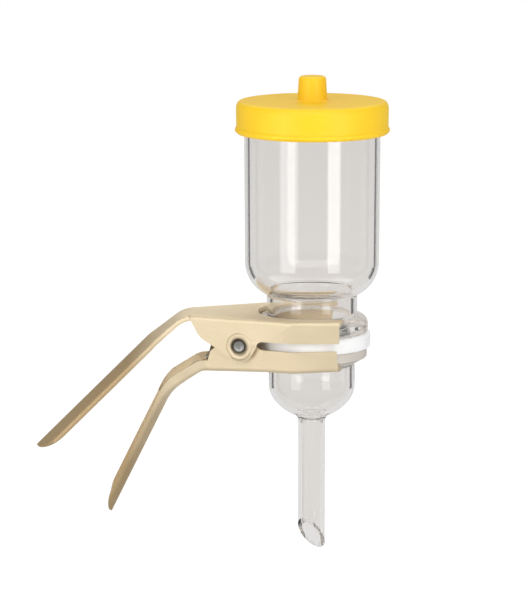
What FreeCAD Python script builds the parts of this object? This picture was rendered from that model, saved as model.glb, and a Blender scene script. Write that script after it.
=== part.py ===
"""Vacuum filtration unit: a glass funnel and a glass receiver joined over a gasket by a sprung clamp.

The frame is in millimetres. +Z runs up the glass axis, +X points away from the clamp's handles,
and the origin is on the glass axis where a stopper grips the outlet stem.
"""

import FreeCAD, Part
import math
import os

import Sketcher

doc = FreeCAD.newDocument("vacuum_filtration_unit")

# ---------------------------------------------------------------- driving dimensions

SIZES = {
    # where the joint lies above the stopper's grip on the stem
    "joint_height": 32.0,
    # gasket ring and the filter support that lies in it
    "gasket_diameter": 30.4,
    "gasket_height": 3.9,
    "gasket_bore": 20.8,
    "gasket_edge": 0.7,
    "screen_diameter": 25.0,
    "screen_thickness": 1.0,
    "screen_clearance": 0.05,
    "screen_hole": 1.9,
    "screen_pitch": 2.9,
    # funnel
    "rim_height": 57.2,
    "cup_diameter": 35.1,
    "cup_foot_diameter": 34.7,
    "cup_wall": 1.35,
    "cup_shoulder_radius": 9.4,
    "cup_shoulder_height": 18.4,
    "neck_diameter": 23.5,
    "neck_wall": 1.6,
    "funnel_flange_diameter": 29.1,
    "funnel_flange_height": 4.5,
    "funnel_flange_round": 2.4,
    "funnel_flange_rise": 0.35,
    "funnel_ground_edge": 0.4,
    "rounding_flatness": 1.12,
    # receiver
    "receiver_flange_diameter": 28.6,
    "receiver_flange_height": 2.5,
    "receiver_ground_edge": 0.3,
    "receiver_slope": 30.0,
    "bowl_diameter": 22.4,
    "bowl_wall": 1.15,
    "bowl_height": 10.0,
    "dome_height": 9.0,
    "dome_knuckle": 6.8,
    "stem_diameter": 7.0,
    "stem_wall": 1.1,
    "stem_length": 54.6,
    "stem_root_round": 2.0,
    "stem_bevel": 53.0,
    "stem_bevel_turn": 59.0,
    # lid
    "lid_height": 8.4,
    "lid_diameter": 39.3,
    "lid_crown_diameter": 38.2,
    "lid_bead_diameter": 39.9,
    "lid_bead_height": 1.5,
    "lid_bead_undercut": 0.7,
    "lid_draft": 0.1,
    "lid_shoulder": 1.6,
    "lid_shoulder_round": 1.7,
    "lid_cover": 5.6,
    "lid_clearance": 0.15,
    "lid_seat_clearance": 0.05,
    "lid_plug_depth": 2.4,
    "lid_plug_wall": 1.6,
    "lid_plug_taper": 0.3,
    "knob_diameter": 7.0,
    "knob_base_diameter": 7.6,
    "knob_height": 6.4,
    "knob_foot_round": 0.6,
    "knob_round": 0.9,
    # clamp
    "sheet_thickness": 0.9,
    "pin_drop": 0.2,
    "upper_tilt": 0.2,
    "lower_tilt": 2.9,
    "seat_clearance": 0.08,
    "side_clearance": 0.4,
    "ear_clearance": 0.5,
    "upper_fork_half_gap": 13.2,
    "lower_fork_half_gap": 12.9,
    "rear_half_width": 6.6,
    "upper_rear_reach": 12.6,
    "lower_rear_reach": 9.1,
    "lower_flare_reach": 6.0,
    "flare_short_of_axis": 5.4,
    "upper_jaw_past_axis": 7.0,
    "lower_jaw_past_axis": 6.3,
    "jaw_tip": 1.1,
    "jaw_corner": 1.0,
    "upper_jaw_foot": 1.3,
    "lower_jaw_foot": 2.3,
    "crotch_setback": 1.05,
    "crotch_shortfall": 0.27,
    "bend_round": 1.1,
    "slot_reach": 4.4,
    "slot_above": 1.6,
    "slot_below": 1.15,
    "slot_fall": 0.5,
    "slot_lead": 0.8,
    "lobe_radius": 3.9,
    "upper_lobe_rear": 61.0,
    "upper_lobe_front": 38.0,
    "lower_lobe_rear": 20.0,
    "lower_lobe_front": 25.0,
    "upper_ear_step": 0.1,
    "upper_waist_rear": 10.7,
    "upper_waist_top": 2.6,
    "upper_waist_front": 8.1,
    "upper_waist_foot": 0.5,
    "upper_waist_round": 5.8,
    "lower_ear_step": 0.7,
    "lower_waist_rear": 7.6,
    "lower_waist_foot": 1.6,
    "lower_waist_front": 6.2,
    "lower_waist_top": 0.6,
    "collar_radius": 3.5,
    "collar_rise": 0.25,
    "collar_root": 0.3,
    "collar_edge": 0.05,
    "collar_slope": 0.3,
    "recess_diameter": 4.4,
    "recess_depth": 0.7,
    "pin_diameter": 3.1,
    "pin_overhang": 0.15,
    "pin_chamfer": 0.25,
    "pin_rim": 0.2,
    "pin_dish": 0.35,
    "pin_running_clearance": 0.05,
    "pin_seat_clearance": 0.02,
    # handles
    "handle_step": 0.1,
    "heel_rise": 0.04,
    "handle_rise": 1.9,
    "handle_depth": 2.9,
    "handle_nose": 5.2,
    "handle_tip": 0.6,
    "upper_heel_depth": 1.45,
    "upper_heel_bend": 8.0,
    "upper_heel_angle": 36.2,
    "upper_heel_run": 7.0,
    "upper_handle_bend": 14.0,
    "upper_handle_angle": 44.6,
    "upper_handle_run": 40.3,
    "upper_nose_rise": 8.2,
    "lower_heel_bend": 2.7,
    "lower_heel_angle": 34.4,
    "lower_heel_run": 6.6,
    "lower_heel_rise": 1.1,
    "lower_heel_depth": 3.7,
    "lower_handle_bend": 12.1,
    "lower_handle_angle": 60.8,
    "lower_handle_run": 33.0,
    "lower_nose_rise": 7.0,
    # spring on the pin
    "spring_wire": 1.2,
    "spring_clearance": 0.35,
    "spring_turns": 4.0,
    "spring_leg_clearance": 0.12,
    "spring_side_clearance": 0.35,
    "spring_ring_clearance": 0.4,
}

dims = doc.addObject("Spreadsheet::Sheet", "dims")
for line, (name, size) in enumerate(SIZES.items(), start=1):
    dims.set(f"A{line}", name)
    dims.set(f"B{line}", str(size))
    dims.setAlias(f"B{line}", name)
doc.recompute()

# ---------------------------------------------------------------- sizes worked out from them

DERIVED = {
    "gasket_r": "dims.gasket_diameter / 2",
    "funnel_z": "dims.joint_height + dims.gasket_height / 2",
    "receiver_z": "dims.joint_height - dims.gasket_height / 2",
    "cup_r": "dims.cup_diameter / 2",
    "foot_r": "dims.cup_foot_diameter / 2",
    "neck_r": "dims.neck_diameter / 2",
    "funnel_flange_r": "dims.funnel_flange_diameter / 2",
    "receiver_flange_r": "dims.receiver_flange_diameter / 2",
    "bowl_r": "dims.bowl_diameter / 2",
    "stem_r": "dims.stem_diameter / 2",
    # where the fork rests on the funnel flange's rounded shoulder, above the flange's ground face
    "shoulder_centre_r": "derived.funnel_flange_r - dims.funnel_flange_round",
    "shoulder_centre_z": "dims.funnel_flange_height - dims.funnel_flange_round",
    "upper_seat": "derived.shoulder_centre_z + sqrt(dims.funnel_flange_round ^ 2"
    " - (dims.upper_fork_half_gap - derived.shoulder_centre_r) ^ 2)",
    # where the lower fork rests on the receiver flange's sloping underside, below its ground face
    "lower_seat": "dims.receiver_flange_height + (derived.receiver_flange_r"
    " - dims.lower_fork_half_gap) * tan(dims.receiver_slope)",
    # the pin's axis, set back so that the spring's coil on it clears the ring
    "pin_r": "dims.pin_diameter / 2",
    "coil_r": "derived.pin_r + dims.spring_clearance + dims.spring_wire / 2",
    "pin_reach": "derived.gasket_r + dims.spring_ring_clearance + derived.coil_r"
    " + dims.spring_wire / 2",
    "pin_z": "dims.joint_height - dims.pin_drop",
    # each web's height from the pin's axis where its fork rests on its flange
    "upper_web": "dims.gasket_height / 2 + derived.upper_seat + dims.seat_clearance"
    " + dims.pin_drop - derived.pin_reach * sin(dims.upper_tilt)",
    "lower_web": "dims.gasket_height / 2 + derived.lower_seat + dims.seat_clearance"
    " - dims.pin_drop + derived.pin_reach * sin(dims.lower_tilt)",
    # the forked channels in plan, measured from the pin
    "flare_reach": "derived.pin_reach - dims.flare_short_of_axis",
    "upper_jaw_reach": "derived.pin_reach + dims.upper_jaw_past_axis",
    "lower_jaw_reach": "derived.pin_reach + dims.lower_jaw_past_axis",
    "fork_half_width": "derived.gasket_r + dims.side_clearance + dims.sheet_thickness",
    "flare_slope": "(derived.fork_half_width - dims.rear_half_width)"
    " / (dims.upper_rear_reach + derived.flare_reach)",
    "flare_angle": "atan(derived.flare_slope)",
    "nest_step": "(dims.sheet_thickness + dims.ear_clearance) / cos(derived.flare_angle)",
    "ear_half_width": "dims.rear_half_width + dims.upper_rear_reach * derived.flare_slope",
    "handle_half_width": "dims.rear_half_width - dims.handle_step",
    # room for the spring between the lower half's walls at its narrow end
    "spring_room": "2 * (dims.rear_half_width + (dims.upper_rear_reach - dims.lower_rear_reach)"
    " * derived.flare_slope - derived.nest_step - dims.sheet_thickness / cos(derived.flare_angle)"
    " - dims.spring_side_clearance - dims.spring_wire / 2)",
}

derived = doc.addObject("App::VarSet", "derived")
for name, formula in DERIVED.items():
    derived.addProperty("App::PropertyFloat", name, "Worked out", "")
    derived.setExpression(name, formula.replace("derived.", ""))
    doc.recompute()


def value(formula):
    """The number that a formula on the sheet's names gives now."""
    found = derived.evalExpression(str(formula).replace("derived.", ""))
    return float(getattr(found, "Value", found))


# ---------------------------------------------------------------- helpers

PAST = "4"  # how far a cutting outline carries on past what it cuts


def new_body(name):
    body = doc.addObject("PartDesign::Body", name)
    body.Label = name
    return body


def plane(body, role):
    return next(o for o in body.Origin.OriginFeatures if o.Role == role)


def new_sketch(body, name, role="XZ_Plane"):
    sketch = body.newObject("Sketcher::SketchObject", name)
    sketch.AttachmentSupport = [(plane(body, role), "")]
    sketch.MapMode = "FlatFace"
    return sketch


def bind(thing, prop, formula):
    thing.setExpression(prop, str(formula))


def fix_corner(sketch, geometry, point, corner):
    """Dimensions one corner from the sketch's origin, each with its own formula."""
    for kind, formula in zip(("DistanceX", "DistanceY"), corner):
        at = sketch.addConstraint(
            Sketcher.Constraint(kind, -1, 1, geometry, point, value(formula))
        )
        bind(sketch, f"Constraints[{at}]", formula)


def arc_between(start, end, radius, turn):
    """A circle's arc from start to end that turns left (+1) or right (-1)."""
    chord = end - start
    reach = max(radius**2 - (chord.Length / 2) ** 2, 0.0) ** 0.5
    side = FreeCAD.Vector(-chord.y, chord.x, 0).normalize() * turn
    centre = (start + end) * 0.5 + side * reach
    first, last = (start, end) if turn > 0 else (end, start)
    angles = [math.atan2(p.y - centre.y, p.x - centre.x) for p in (first, last)]
    if angles[1] < angles[0]:
        angles[1] += 2 * math.pi
    circle = Part.Circle(centre, FreeCAD.Vector(0, 0, 1), radius)
    return Part.ArcOfCircle(circle, *angles)


def draw(sketch, corners, arcs=None, closed=True):
    """An outline through corners. arcs maps a side's number to its radius and turn (+1 left, -1 right)."""
    arcs = arcs or {}
    points = [FreeCAD.Vector(value(x), value(y), 0) for x, y in corners]
    sides = []
    for i, start in enumerate(points if closed else points[:-1]):
        end = points[(i + 1) % len(points)]
        if i in arcs:
            radius, turn = arcs[i]
            geometry = sketch.addGeometry(arc_between(start, end, value(radius), turn))
            ends = (1, 2) if turn > 0 else (2, 1)
        else:
            geometry = sketch.addGeometry(Part.LineSegment(start, end))
            ends = (1, 2)
        sides.append((geometry, *ends))
    for i, (geometry, first, _) in enumerate(sides):
        before, _, last = sides[i - 1]
        if closed or i:
            join = Sketcher.Constraint("Coincident", before, last, geometry, first)
            sketch.addConstraint(join)
        fix_corner(sketch, geometry, first, corners[i])
    if not closed:
        geometry, _, last = sides[-1]
        fix_corner(sketch, geometry, last, corners[-1])
    for i, (radius, _) in arcs.items():
        geometry = sides[i][0]
        at = sketch.addConstraint(Sketcher.Constraint("Radius", geometry, value(radius)))
        bind(sketch, f"Constraints[{at}]", radius)
    doc.recompute()


def draw_circle(sketch, radius, x="0", y="0"):
    centre = FreeCAD.Vector(value(x), value(y), 0)
    circle = Part.Circle(centre, FreeCAD.Vector(0, 0, 1), value(radius))
    geometry = sketch.addGeometry(circle)
    at = sketch.addConstraint(Sketcher.Constraint("Radius", geometry, value(radius)))
    bind(sketch, f"Constraints[{at}]", radius)
    fix_corner(sketch, geometry, 3, (x, y))


def revolve(body, sketch, name, axis="V_Axis", cut=False):
    kind = "PartDesign::Groove" if cut else "PartDesign::Revolution"
    feature = body.newObject(kind, name)
    feature.Profile = sketch
    feature.ReferenceAxis = (sketch, [axis])
    feature.Angle = 360
    doc.recompute()
    return feature


def pad(body, sketch, name, length, back=False):
    feature = body.newObject("PartDesign::Pad", name)
    feature.Profile = sketch
    bind(feature, "Length", length)
    feature.Reversed = back
    doc.recompute()
    return feature


def cut(body, sketch, name, length=None, both_ways=True, back=False):
    """A pocket through everything, or to a length, that has to take volume away."""
    before = body.Shape.Volume
    feature = body.newObject("PartDesign::Pocket", name)
    feature.Profile = sketch
    feature.SideType = "Symmetric" if both_ways else "One side"
    if length is None:
        feature.Type = "ThroughAll"
    else:
        bind(feature, "Length", length)
    feature.Reversed = back
    doc.recompute()
    if body.Shape.Volume > before - 1e-4:
        raise RuntimeError(f"{name} takes nothing away")
    return feature


def place(part, x="0", y="0", z="0", turn=None):
    """Puts a part in the row's frame. turn is a formula for degrees about +Y, positive lifting +X."""
    for axis, formula in zip("xyz", (x, y, z)):
        bind(part, f"Placement.Base.{axis}", formula)
    if turn is not None:
        part.Placement.Rotation = FreeCAD.Rotation(FreeCAD.Vector(0, -1, 0), 1)
        bind(part, "Placement.Rotation.Angle", turn)
    doc.recompute()


# ---------------------------------------------------------------- glass funnel


def make_funnel():
    """Cup, rounded shoulder, neck and ground flange, blown and turned as one piece.

    Local z is 0 at the flange's ground face."""
    body = new_body("funnel")
    outline = new_sketch(body, "funnel_section")
    wall, neck_wall = "dims.cup_wall", "dims.neck_wall"
    shoulder_r = "(derived.foot_r - dims.cup_shoulder_radius)"
    shoulder_drop = (
        "sqrt(dims.cup_shoulder_radius ^ 2 - (derived.neck_r - {0}) ^ 2)".format(shoulder_r)
    )
    inner_drop = (
        "sqrt((dims.cup_shoulder_radius - dims.cup_wall) ^ 2"
        " - (derived.neck_r - dims.neck_wall - {0}) ^ 2)".format(shoulder_r)
    )
    corners = [
        ("derived.neck_r - dims.neck_wall", "0"),
        ("derived.funnel_flange_r - dims.funnel_ground_edge", "0"),
        ("derived.funnel_flange_r", "dims.funnel_ground_edge"),
        ("derived.funnel_flange_r", "derived.shoulder_centre_z"),
        ("derived.shoulder_centre_r", "dims.funnel_flange_height"),
        ("derived.neck_r", "dims.funnel_flange_height + dims.funnel_flange_rise"),
        ("derived.neck_r", f"dims.cup_shoulder_height - {shoulder_drop}"),
        ("derived.foot_r", "dims.cup_shoulder_height"),
        ("derived.cup_r", f"dims.rim_height - {wall} / 2"),
        (f"derived.cup_r - {wall}", f"dims.rim_height - {wall} / 2"),
        (f"derived.foot_r - {wall}", "dims.cup_shoulder_height"),
        (f"derived.neck_r - {neck_wall}", f"dims.cup_shoulder_height - {inner_drop}"),
    ]
    arcs = {
        3: ("dims.funnel_flange_round", 1),
        6: ("dims.cup_shoulder_radius", 1),
        8: (f"{wall} / 2 * dims.rounding_flatness", 1),
        10: (f"dims.cup_shoulder_radius - {wall}", -1),
    }
    draw(outline, corners, arcs)
    revolve(body, outline, "funnel_glass")
    place(body, z="derived.funnel_z")
    return body


# ---------------------------------------------------------------- glass receiver


def make_receiver():
    """Ground flange, short bowl with a domed bottom, and the bevelled outlet stem.

    Local z is 0 at the flange's ground face."""
    body = new_body("receiver")
    outline = new_sketch(body, "receiver_section")
    slope = "tan(dims.receiver_slope)"
    knuckle = "(derived.bowl_r - dims.dome_knuckle)"
    crown = (
        f"(({knuckle} ^ 2 + dims.dome_height ^ 2 - dims.dome_knuckle ^ 2)"
        " / (2 * (dims.dome_height - dims.dome_knuckle)))"
    )
    crown_lift = f"({crown} - dims.dome_height)"
    share = f"({crown} / ({crown} - dims.dome_knuckle))"
    inner_crown = f"({crown} - dims.bowl_wall)"
    bore_r = "(derived.stem_r - dims.stem_wall)"
    root_r = "(derived.stem_r + dims.stem_root_round)"
    root_z = (
        f"(-dims.bowl_height + {crown_lift} - sqrt(({crown} + dims.stem_root_round) ^ 2"
        f" - {root_r} ^ 2))"
    )
    touch = f"({crown} / ({crown} + dims.stem_root_round))"
    corners = [
        (bore_r, f"-dims.bowl_height + {crown_lift} - sqrt({inner_crown} ^ 2 - {bore_r} ^ 2)"),
        (bore_r, "-dims.stem_length"),
        ("derived.stem_r", "-dims.stem_length"),
        ("derived.stem_r", root_z),
        (
            f"{root_r} * {touch}",
            f"-dims.bowl_height + {crown_lift} - sqrt({crown} ^ 2 - ({root_r} * {touch}) ^ 2)",
        ),
        (f"{knuckle} * {share}", f"-dims.bowl_height + {crown_lift} * (1 - {share})"),
        ("derived.bowl_r", "-dims.bowl_height"),
        (
            "derived.bowl_r",
            f"-dims.receiver_flange_height - (derived.receiver_flange_r - derived.bowl_r) * {slope}",
        ),
        ("derived.receiver_flange_r", "-dims.receiver_flange_height"),
        ("derived.receiver_flange_r", "-dims.receiver_ground_edge"),
        ("derived.receiver_flange_r - dims.receiver_ground_edge", "0"),
        ("derived.bowl_r - dims.bowl_wall", "0"),
        ("derived.bowl_r - dims.bowl_wall", "-dims.bowl_height"),
        (
            f"{knuckle} * {inner_crown} / ({crown} - dims.dome_knuckle)",
            f"-dims.bowl_height + {crown_lift} * (1 - {inner_crown} / ({crown} - dims.dome_knuckle))",
        ),
    ]
    arcs = {
        3: ("dims.stem_root_round", -1),
        4: (crown, 1),
        5: ("dims.dome_knuckle", 1),
        12: ("dims.dome_knuckle - dims.bowl_wall", -1),
        13: (inner_crown, -1),
    }
    draw(outline, corners, arcs)
    revolve(body, outline, "receiver_glass")

    # The stem's end is ground off at a slant, and its open face looks towards the front.
    bevel = new_sketch(body, "stem_bevel_line")
    rise = "(dims.stem_diameter * tan(dims.stem_bevel))"
    draw(
        bevel,
        [
            (f"-derived.stem_r - {PAST}", f"-dims.stem_length - {PAST}"),
            ("derived.stem_r", f"-dims.stem_length - {PAST}"),
            ("derived.stem_r", "-dims.stem_length"),
            ("-derived.stem_r", f"-dims.stem_length + {rise}"),
            (f"-derived.stem_r - {PAST}", f"-dims.stem_length + {rise}"),
        ],
    )
    bevel.AttachmentOffset = FreeCAD.Placement(
        FreeCAD.Vector(), FreeCAD.Rotation(FreeCAD.Vector(0, 1, 0), 1)
    )
    bind(bevel, "AttachmentOffset.Rotation.Angle", "dims.stem_bevel_turn")
    cut(body, bevel, "stem_bevel")
    place(body, z="derived.receiver_z")
    return body


# ---------------------------------------------------------------- gasket and filter support


def make_gasket():
    """Ring between the two ground faces, with a rebate for the filter support.

    Local z is 0 at its underside."""
    body = new_body("gasket_ring")
    outline = new_sketch(body, "gasket_section")
    seat_r = "dims.screen_diameter / 2 + dims.screen_clearance"
    edge = "dims.gasket_edge"
    draw(
        outline,
        [
            ("dims.gasket_bore / 2", "0"),
            (f"derived.gasket_r - {edge}", "0"),
            ("derived.gasket_r", edge),
            ("derived.gasket_r", f"dims.gasket_height - {edge}"),
            (f"derived.gasket_r - {edge}", "dims.gasket_height"),
            (seat_r, "dims.gasket_height"),
            (seat_r, "dims.gasket_height - dims.screen_thickness"),
            ("dims.gasket_bore / 2", "dims.gasket_height - dims.screen_thickness"),
        ],
        {1: (edge, 1), 3: (edge, 1)},
    )
    revolve(body, outline, "gasket_turned")
    place(body, z="derived.receiver_z")
    return body


def make_screen():
    """Perforated disc that carries the filter. Rings of holes, six more in each ring."""
    body = new_body("support_screen")
    disc = new_sketch(body, "screen_disc", "XY_Plane")
    draw_circle(disc, "dims.screen_diameter / 2")
    pad(body, disc, "screen_blank", "dims.screen_thickness")
    holes = new_sketch(body, "middle_hole", "XY_Plane")
    draw_circle(holes, "dims.screen_hole / 2")
    cut(body, holes, "middle_hole_cut")
    rings = int(
        (value("dims.gasket_bore") - value("dims.screen_hole")) / 2 // value("dims.screen_pitch")
    )
    for ring in range(1, rings + 1):
        hole = new_sketch(body, f"ring_hole_{ring}", "XY_Plane")
        draw_circle(hole, "dims.screen_hole / 2", x=f"{ring} * dims.screen_pitch")
        first = cut(body, hole, f"ring_hole_cut_{ring}")
        around = body.newObject("PartDesign::PolarPattern", f"ring_{ring}")
        around.Originals = [first]
        around.Axis = (hole, ["N_Axis"])
        around.Angle = 360
        around.Occurrences = 6 * ring
        body.Tip = around
        doc.recompute()
    place(body, z="derived.funnel_z - dims.screen_thickness")
    return body


# ---------------------------------------------------------------- lid


def make_lid():
    """Moulded push-on lid with its knob in one piece. Local z is 0 where it rests on the cup's rim."""
    body = new_body("lid")
    outline = new_sketch(body, "lid_section")
    bead_r, lid_r = "dims.lid_bead_diameter / 2", "dims.lid_diameter / 2"
    crown_r = "dims.lid_crown_diameter / 2"
    top = "dims.lid_height - dims.lid_cover"
    knob_top = f"{top} + dims.knob_height"
    bore = "derived.cup_r + dims.lid_clearance"
    plug = "derived.cup_r - dims.cup_wall - dims.lid_clearance"
    corners = [
        ("0", knob_top),
        ("0", "0"),
        (f"{plug} - dims.lid_plug_wall", "0"),
        (f"{plug} - dims.lid_plug_wall", "-dims.lid_plug_depth"),
        (f"{plug} - dims.lid_plug_taper", "-dims.lid_plug_depth"),
        (plug, "0"),
        (bore, "0"),
        (bore, "-dims.lid_cover"),
        (f"{bead_r} - dims.lid_bead_undercut", "-dims.lid_cover"),
        (f"{lid_r} - dims.lid_draft", "-dims.lid_cover + dims.lid_bead_height"),
        (lid_r, f"{top} - dims.lid_shoulder"),
        (crown_r, top),
        ("dims.knob_base_diameter / 2 + dims.knob_foot_round", top),
        ("dims.knob_base_diameter / 2", f"{top} + dims.knob_foot_round"),
        ("dims.knob_diameter / 2", f"{knob_top} - dims.knob_round"),
        ("dims.knob_diameter / 2 - dims.knob_round", knob_top),
    ]
    arcs = {
        8: ("dims.lid_bead_height / 2 * dims.rounding_flatness", 1),
        10: ("dims.lid_shoulder_round", 1),
        12: ("dims.knob_foot_round", -1),
        14: ("dims.knob_round", 1),
    }
    draw(outline, corners, arcs)
    revolve(body, outline, "lid_moulding")
    place(body, z="derived.funnel_z + dims.rim_height + dims.lid_seat_clearance")
    return body


# ---------------------------------------------------------------- spring clamp
# Both halves are pressed from sheet as forked channels, and each has its own frame at the pin's
# axis. way is +1 for the upper half, whose web is on top, and -1 for the lower half.

BLANK = "1"  # how much deeper than its lobe a channel's block starts out


def signed(way, formula):
    return f"({formula})" if way > 0 else f"-({formula})"


def tangent_radius(run, drop):
    """The radius of an arc that leaves a line along it and has left it by drop after run."""
    return f"((({run}) ^ 2 + ({drop}) ^ 2) / (2 * ({drop})))"


def upper_half_width(x):
    return f"(dims.rear_half_width + (dims.upper_rear_reach + {x}) * derived.flare_slope)"


def side_corners(way):
    """The channel's outline on one side, from its rear to its jaw, as (reach, half-width)."""
    if way > 0:
        flare = [("-dims.upper_rear_reach", "dims.rear_half_width")]
    else:
        flare = [
            (x, f"({upper_half_width(x)} - derived.nest_step)")
            for x in ("-dims.lower_rear_reach", "dims.lower_flare_reach")
        ]
    jaw = "derived.upper_jaw_reach" if way > 0 else "derived.lower_jaw_reach"
    width = "derived.fork_half_width"
    return flare + [("derived.flare_reach", width), (f"({jaw} + dims.jaw_tip - dims.jaw_corner)", width)]


def inside_corners(corners, wall):
    """The same outline moved in by the wall, with its two ends carried on past the channel's."""

    def line(start, end):
        (x1, w1), (x2, w2) = start, end
        slope = f"((({w2}) - ({w1})) / (({x2}) - ({x1})))"
        level = f"({w1} - {slope} * ({x1}) - {wall} * sqrt(1 + {slope} ^ 2))"
        return slope, level

    lines = [line(*pair) for pair in zip(corners, corners[1:])]
    first_x = f"({corners[0][0]} - {PAST})"
    last_x = f"({corners[-1][0]} + dims.jaw_corner + {PAST})"
    inside = [(first_x, f"({lines[0][1]} + {lines[0][0]} * {first_x})")]
    for (slope, level), (next_slope, next_level) in zip(lines, lines[1:]):
        x = f"(({next_level} - {level}) / ({slope} - {next_slope}))"
        inside.append((x, f"({level} + {slope} * {x})"))
    return inside + [(last_x, f"({lines[-1][1]} + {lines[-1][0]} * {last_x})")]


def both_sides(corners):
    """A closed outline from one side's corners, mirrored across the channel's middle."""
    return [(x, f"-({w})") for x, w in corners] + [(x, w) for x, w in reversed(corners)]


def ridge_edges(body, level):
    """Names of the long edges where the block's web meets its sides, which the press rounds."""
    names = []
    for number, edge in enumerate(body.Shape.Edges, start=1):
        start, end = edge.Vertexes[0].Point, edge.Vertexes[-1].Point
        in_web = max(abs(start.z - level), abs(end.z - level)) < 1e-4
        crosses = start.y * end.y < 0
        lengthwise = abs(start.x - end.x) > abs(start.y - end.y)
        if in_web and lengthwise and not crosses:
            names.append(f"Edge{number}")
    return names


def flat_sketch(body, name, level):
    sketch = new_sketch(body, name, "XY_Plane")
    bind(sketch, "AttachmentOffset.Base.z", level)
    return sketch


def make_channel(body, way, web, edge_line, arcs):
    """A block with rounded ridges, hollowed to sheet, its sides cut to edge_line and forked at one end."""
    prefix = "upper" if way > 0 else "lower"
    corners = side_corners(way)
    outer = signed(way, f"{web} + dims.sheet_thickness")
    plan = flat_sketch(body, f"{prefix}_plan", outer)
    jaw_tips = [(f"({corners[-1][0]} + dims.jaw_corner)", "dims.upper_fork_half_gap")]
    draw(plan, both_sides(corners + jaw_tips))
    deep = f"{web} + dims.sheet_thickness + dims.lobe_radius + {BLANK}"
    pad(body, plan, f"{prefix}_block", deep, back=way > 0)

    block, ridges = body.Tip, ridge_edges(body, value(outer))
    bends = body.newObject("PartDesign::Fillet", f"{prefix}_bends")
    bends.Base = (block, ridges)
    bind(bends, "Radius", "dims.bend_round")
    doc.recompute()

    hollow = flat_sketch(body, f"{prefix}_hollow", signed(way, web))
    draw(hollow, both_sides(inside_corners(corners, "dims.sheet_thickness")))
    cut(body, hollow, f"{prefix}_hollow_cut", length=deep, both_ways=False, back=way < 0)

    edge = new_sketch(body, f"{prefix}_edge_line")
    draw(edge, edge_line, arcs)
    cut(body, edge, f"{prefix}_edge_cut")

    gap = f"dims.{prefix}_fork_half_gap"
    fork = new_sketch(body, f"{prefix}_fork", "XY_Plane")
    crotch = "(derived.pin_reach - dims.crotch_setback)"
    open_end = f"derived.upper_jaw_reach + {PAST}"
    draw(
        fork,
        [
            (crotch, f"-{gap}"),
            (open_end, f"-{gap}"),
            (open_end, gap),
            (crotch, gap),
            (f"{crotch} - {gap} + dims.crotch_shortfall", "0"),
        ],
        {3: (gap, 1), 4: (gap, 1)},
    )
    cut(body, fork, f"{prefix}_fork_cut")


def handle_section(body, name, way, at, angle, rise, depth):
    """A handle's cross-section where its crown is at (x, z) and it has turned down by angle: an arched
    strip of sheet with a wall down each side."""
    sketch = new_sketch(body, name, "YZ_Plane")
    half, sheet, bend = "derived.handle_half_width", "dims.sheet_thickness", "dims.bend_round"
    fall = f"({rise} * (({half} - {bend}) / {half}) ^ 2)"
    inner_rise = f"({rise} * (({half} - {sheet}) / {half}) ^ 2)"
    arch = f"((({half} - {bend}) ^ 2 + {fall} ^ 2) / (2 * {fall}))"
    inner_arch = f"((({half} - {sheet}) ^ 2 + {inner_rise} ^ 2) / (2 * {inner_rise}))"
    side = [
        (f"{half} - {bend}", fall),
        (half, f"{fall} + {bend}"),
        (half, depth),
        (f"{half} - {sheet}", depth),
        (f"{half} - {sheet}", f"{inner_rise} + {sheet}"),
    ]
    corners = [(f"-({u})", v) for u, v in side] + [(u, v) for u, v in reversed(side)]
    arcs = {0: (bend, way), 4: (inner_arch, -way), 8: (bend, way), 9: (arch, way)}
    draw(sketch, [(u, signed(-way, v)) for u, v in corners], arcs)
    sketch.AttachmentOffset = FreeCAD.Placement(
        FreeCAD.Vector(), FreeCAD.Rotation(FreeCAD.Vector(-1, 0, 0), 1)
    )
    bind(sketch, "AttachmentOffset.Base.y", at[1])
    bind(sketch, "AttachmentOffset.Base.z", at[0])
    bind(sketch, "AttachmentOffset.Rotation.Angle", angle)
    doc.recompute()
    return sketch


def handle_path(start, steps):
    """Corners, arcs and headings of a path that runs towards -X and turns down. A step is a run's
    length, or a bend's radius and the heading that it ends at."""
    corners, arcs, headings = [start], {}, ["0"]
    for number, step in enumerate(steps):
        (x, z), heading = corners[-1], headings[-1]
        if isinstance(step, tuple):
            radius, turned = step
            corners.append(
                (
                    f"({x} + {radius} * (sin({heading}) - sin({turned})))",
                    f"({z} + {radius} * (cos({turned}) - cos({heading})))",
                )
            )
            arcs[number] = (radius, 1)
            headings.append(turned)
        else:
            corners.append((f"({x} - {step} * cos({heading}))", f"({z} - {step} * sin({heading}))"))
            headings.append(heading)
    return corners, arcs, headings


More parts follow.
